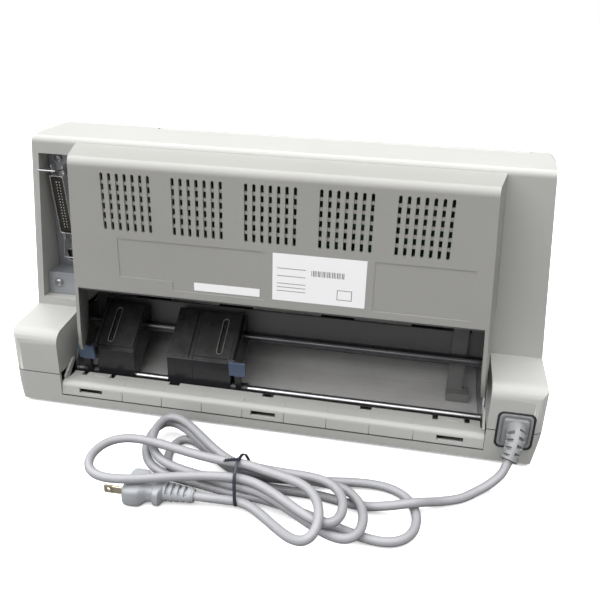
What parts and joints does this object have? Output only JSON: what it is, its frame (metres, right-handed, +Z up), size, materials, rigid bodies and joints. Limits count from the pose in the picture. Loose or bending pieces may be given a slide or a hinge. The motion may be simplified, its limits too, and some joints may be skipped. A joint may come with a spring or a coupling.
{
  "type": "dot matrix printer",
  "caption": "Wide flat-bed dot matrix printer with a hinged cover, rear push tractors, a paper table and a coiled mains cord.",
  "frame": {"origin": "centre of the case's footprint, on the surface under the rubber feet", "axes": "+X towards the side with the interface recess (left when seen from behind), +Y towards the rear, +Z up"},
  "size_m": [0.468, 0.4216, 0.237],
  "materials": {
    "case_plastic": "fine spark texture, warm light grey",
    "hood_plastic": "fine spark texture, a little darker grey",
    "smoked_window": "smoked clear plastic",
    "panel_grey": "smooth grey panel",
    "button_grey": "satin grey",
    "black_plastic": "satin black",
    "blue_plastic": "satin slate blue",
    "guide_plastic": "satin dark grey",
    "tractor_plastic": "satin black",
    "gear_plastic": "natural moulded",
    "belt_rubber": "ribbed belt",
    "foot_rubber": "soft black",
    "frame_steel": "plated sheet",
    "floor_steel": "dull grey sheet",
    "baffle_steel": "black painted sheet",
    "bright_steel": "ground and polished",
    "zinc_plate": "bluish zinc plate",
    "nickel_shell": "nickel plated",
    "motor_black": "black enamel",
    "roller_rubber": "ground rubber",
    "pinion_brass": "machined",
    "board_green": "solder resist",
    "cord_grey": "soft glossy grey vinyl",
    "tie_black": "dark blue-black wire tie"
  },
  "bodies": {
    "case": {"lower_case": "case_plastic", "rubber_feet": "foot_rubber", "upper_case": "case_plastic", "rear_hood": "hood_plastic", "rear_sill": "case_plastic", "comb_strip": "case_plastic", "paper_table": "case_plastic", "control_panel": "panel_grey", "base_frame": "frame_steel", "side_frame_left": "frame_steel", "side_frame_right": "frame_steel", "carriage_shaft": "bright_steel", "guide_rail": "frame_steel", "carriage_motor": "motor_black", "carriage_belt": "belt_rubber", "platen": "roller_rubber", "feed_motor": "motor_black", "paper_floor": "floor_steel", "rear_baffle": "baffle_steel", "tractor_rod": "bright_steel", "circuit_boards": "board_green", "interface_bracket": "zinc_plate", "interface_connector": "nickel_shell", "ac_inlet": "black_plastic", "cord_connector": "cord_grey", "cord_free": "cord_grey", "cord_hank": "cord_grey", "cord_tie": "tie_black", "mains_plug": "cord_grey"},
    "cover": {"printer_cover": "case_plastic", "cover_window": "smoked_window"},
    "edge_guide": {"edge_guide": "guide_plastic"},
    "pause_button": {"pause_button": "button_grey"},
    "feed_button": {"feed_button": "button_grey"},
    "load_button": {"load_button": "button_grey"},
    "power_rocker": {"power_rocker": "black_plastic"},
    "release_lever": {"release_lever": "blue_plastic"},
    "carriage": {"carriage": "black_plastic", "print_head": "motor_black", "ribbon_cartridge": "black_plastic"},
    "ribbon_knob": {"ribbon_knob": "blue_plastic"},
    "drive_pulley": {"drive_pulley": "pinion_brass"},
    "idler_pulley": {"idler_pulley": "pinion_brass"},
    "front_feed_roller": {"front_feed_roller": "roller_rubber"},
    "rear_feed_roller": {"rear_feed_roller": "roller_rubber"},
    "front_pinch_roller": {"front_pinch_roller": "roller_rubber"},
    "rear_pinch_roller": {"rear_pinch_roller": "roller_rubber"},
    "idler_gear": {"idler_gear": "gear_plastic"},
    "motor_pinion": {"motor_pinion": "pinion_brass"},
    "tractor_shaft": {"tractor_shaft": "bright_steel"},
    "tractor_left": {"tractor_left": "tractor_plastic"},
    "tractor_right": {"tractor_right": "tractor_plastic"},
    "flap_left": {"flap_left": "tractor_plastic"},
    "flap_right": {"flap_right": "tractor_plastic"},
    "lock_lever_left": {"lock_lever_left": "blue_plastic"},
    "lock_lever_right": {"lock_lever_right": "blue_plastic"},
    "centre_support": {"centre_support": "tractor_plastic"},
    "bail_upper": {"bail_upper": "bright_steel"},
    "bail_lower": {"bail_lower": "bright_steel"}
  },
  "joints": [
    {"name": "cover_hinge", "type": "hinge", "parent": "case", "child": "cover", "pos_m": [0, 0.02, 0.2335], "axis": [-1, 0, 0], "range_deg": [0, 70]},
    {"name": "edge_guide_slide", "type": "slide", "parent": "case", "child": "edge_guide", "axis": [1, 0, 0], "range_m": [-0.015, 0.28]},
    {"name": "pause_button_press", "type": "slide", "parent": "case", "child": "pause_button", "axis": [0, 0.7104, -0.7038], "range_m": [0, 0.0012], "stiffness_N_per_m": 400},
    {"name": "feed_button_press", "type": "slide", "parent": "case", "child": "feed_button", "axis": [0, 0.7104, -0.7038], "range_m": [0, 0.0012], "stiffness_N_per_m": 400},
    {"name": "load_button_press", "type": "slide", "parent": "case", "child": "load_button", "axis": [0, 0.7104, -0.7038], "range_m": [0, 0.0012], "stiffness_N_per_m": 400},
    {"name": "power_rocker_tilt", "type": "hinge", "parent": "case", "child": "power_rocker", "pos_m": [-0.219, -0.131, 0.052], "axis": [1, 0, 0], "range_deg": [-12, 0]},
    {"name": "release_lever_pivot", "type": "hinge", "parent": "case", "child": "release_lever", "pos_m": [0.214, -0.01064, 0.176], "axis": [1, 0, 0], "range_deg": [-30, 30]},
    {"name": "carriage_slide", "type": "slide", "parent": "case", "child": "carriage", "axis": [1, 0, 0], "range_m": [-0.11, 0.11]},
    {"name": "ribbon_knob_spin", "type": "hinge", "parent": "carriage", "child": "ribbon_knob", "pos_m": [-0.031, 0.008, 0.14], "axis": [0, 0, 1], "continuous": true},
    {"name": "drive_pulley_spin", "type": "hinge", "parent": "case", "child": "drive_pulley", "pos_m": [-0.16, 0.0465, 0.107], "axis": [0, 0, 1], "continuous": true},
    {"name": "idler_pulley_spin", "type": "hinge", "parent": "case", "child": "idler_pulley", "pos_m": [0.16, 0.0465, 0.107], "axis": [0, 0, 1], "continuous": true},
    {"name": "front_feed_roller_spin", "type": "hinge", "parent": "case", "child": "front_feed_roller", "pos_m": [0, -0.04, 0.068], "axis": [1, 0, 0], "continuous": true},
    {"name": "rear_feed_roller_spin", "type": "hinge", "parent": "case", "child": "rear_feed_roller", "pos_m": [0, 0.04, 0.068], "axis": [1, 0, 0], "continuous": true},
    {"name": "front_pinch_roller_spin", "type": "hinge", "parent": "case", "child": "front_pinch_roller", "pos_m": [0, -0.04, 0.0883], "axis": [1, 0, 0], "continuous": true},
    {"name": "rear_pinch_roller_spin", "type": "hinge", "parent": "case", "child": "rear_pinch_roller", "pos_m": [0, 0.04, 0.0883], "axis": [1, 0, 0], "continuous": true},
    {"name": "idler_gear_spin", "type": "hinge", "parent": "case", "child": "idler_gear", "pos_m": [-0.193, 0, 0.068], "axis": [1, 0, 0], "continuous": true},
    {"name": "motor_pinion_spin", "type": "hinge", "parent": "case", "child": "motor_pinion", "pos_m": [-0.193, -0.04, 0.038], "axis": [1, 0, 0], "continuous": true},
    {"name": "tractor_shaft_spin", "type": "hinge", "parent": "case", "child": "tractor_shaft", "pos_m": [0, 0.06801, 0.05725], "axis": [1, 0, 0], "continuous": true},
    {"name": "tractor_left_slide", "type": "slide", "parent": "case", "child": "tractor_left", "axis": [1, 0, 0], "range_m": [-0.015, 0.005]},
    {"name": "tractor_right_slide", "type": "slide", "parent": "case", "child": "tractor_right", "axis": [1, 0, 0], "range_m": [-0.17, 0]},
    {"name": "centre_support_slide", "type": "slide", "parent": "case", "child": "centre_support", "axis": [1, 0, 0], "range_m": [0, 0.01]},
    {"name": "flap_left_hinge", "type": "hinge", "parent": "tractor_left", "child": "flap_left", "pos_m": [0.167, 0.08767, 0.06494], "axis": [0, 0.788, -0.6157], "range_deg": [0, 60]},
    {"name": "flap_right_hinge", "type": "hinge", "parent": "tractor_right", "child": "flap_right", "pos_m": [0.036, 0.08767, 0.06494], "axis": [0, -0.788, 0.6157], "range_deg": [0, 60]},
    {"name": "lock_lever_left_turn", "type": "hinge", "parent": "tractor_left", "child": "lock_lever_left", "pos_m": [0.17, 0.102, 0.0213], "axis": [-1, 0, 0], "range_deg": [0, 30]},
    {"name": "lock_lever_right_turn", "type": "hinge", "parent": "tractor_right", "child": "lock_lever_right", "pos_m": [0.03, 0.102, 0.0213], "axis": [-1, 0, 0], "range_deg": [0, 30]},
    {"name": "bail_upper_swing", "type": "hinge", "parent": "case", "child": "bail_upper", "pos_m": [0.20333, 0.0723, 0.20592], "axis": [1, 0, 0], "range_deg": [-75, 15]},
    {"name": "bail_lower_swing", "type": "hinge", "parent": "case", "child": "bail_lower", "pos_m": [0.20333, 0.06321, 0.14055], "axis": [1, 0, 0], "range_deg": [0, 130]}
  ],
  "couplings": [
    {"joint": "drive_pulley_spin", "follows": "carriage_slide", "rad_per_m": 200},
    {"joint": "idler_pulley_spin", "follows": "carriage_slide", "rad_per_m": 200},
    {"joint": "idler_gear_spin", "follows": "front_feed_roller_spin", "ratio": -1},
    {"joint": "rear_feed_roller_spin", "follows": "front_feed_roller_spin", "ratio": 1},
    {"joint": "tractor_shaft_spin", "follows": "front_feed_roller_spin", "ratio": -2},
    {"joint": "front_pinch_roller_spin", "follows": "front_feed_roller_spin", "ratio": -1},
    {"joint": "rear_pinch_roller_spin", "follows": "front_feed_roller_spin", "ratio": -1},
    {"joint": "motor_pinion_spin", "follows": "front_feed_roller_spin", "ratio": -2}
  ]
}
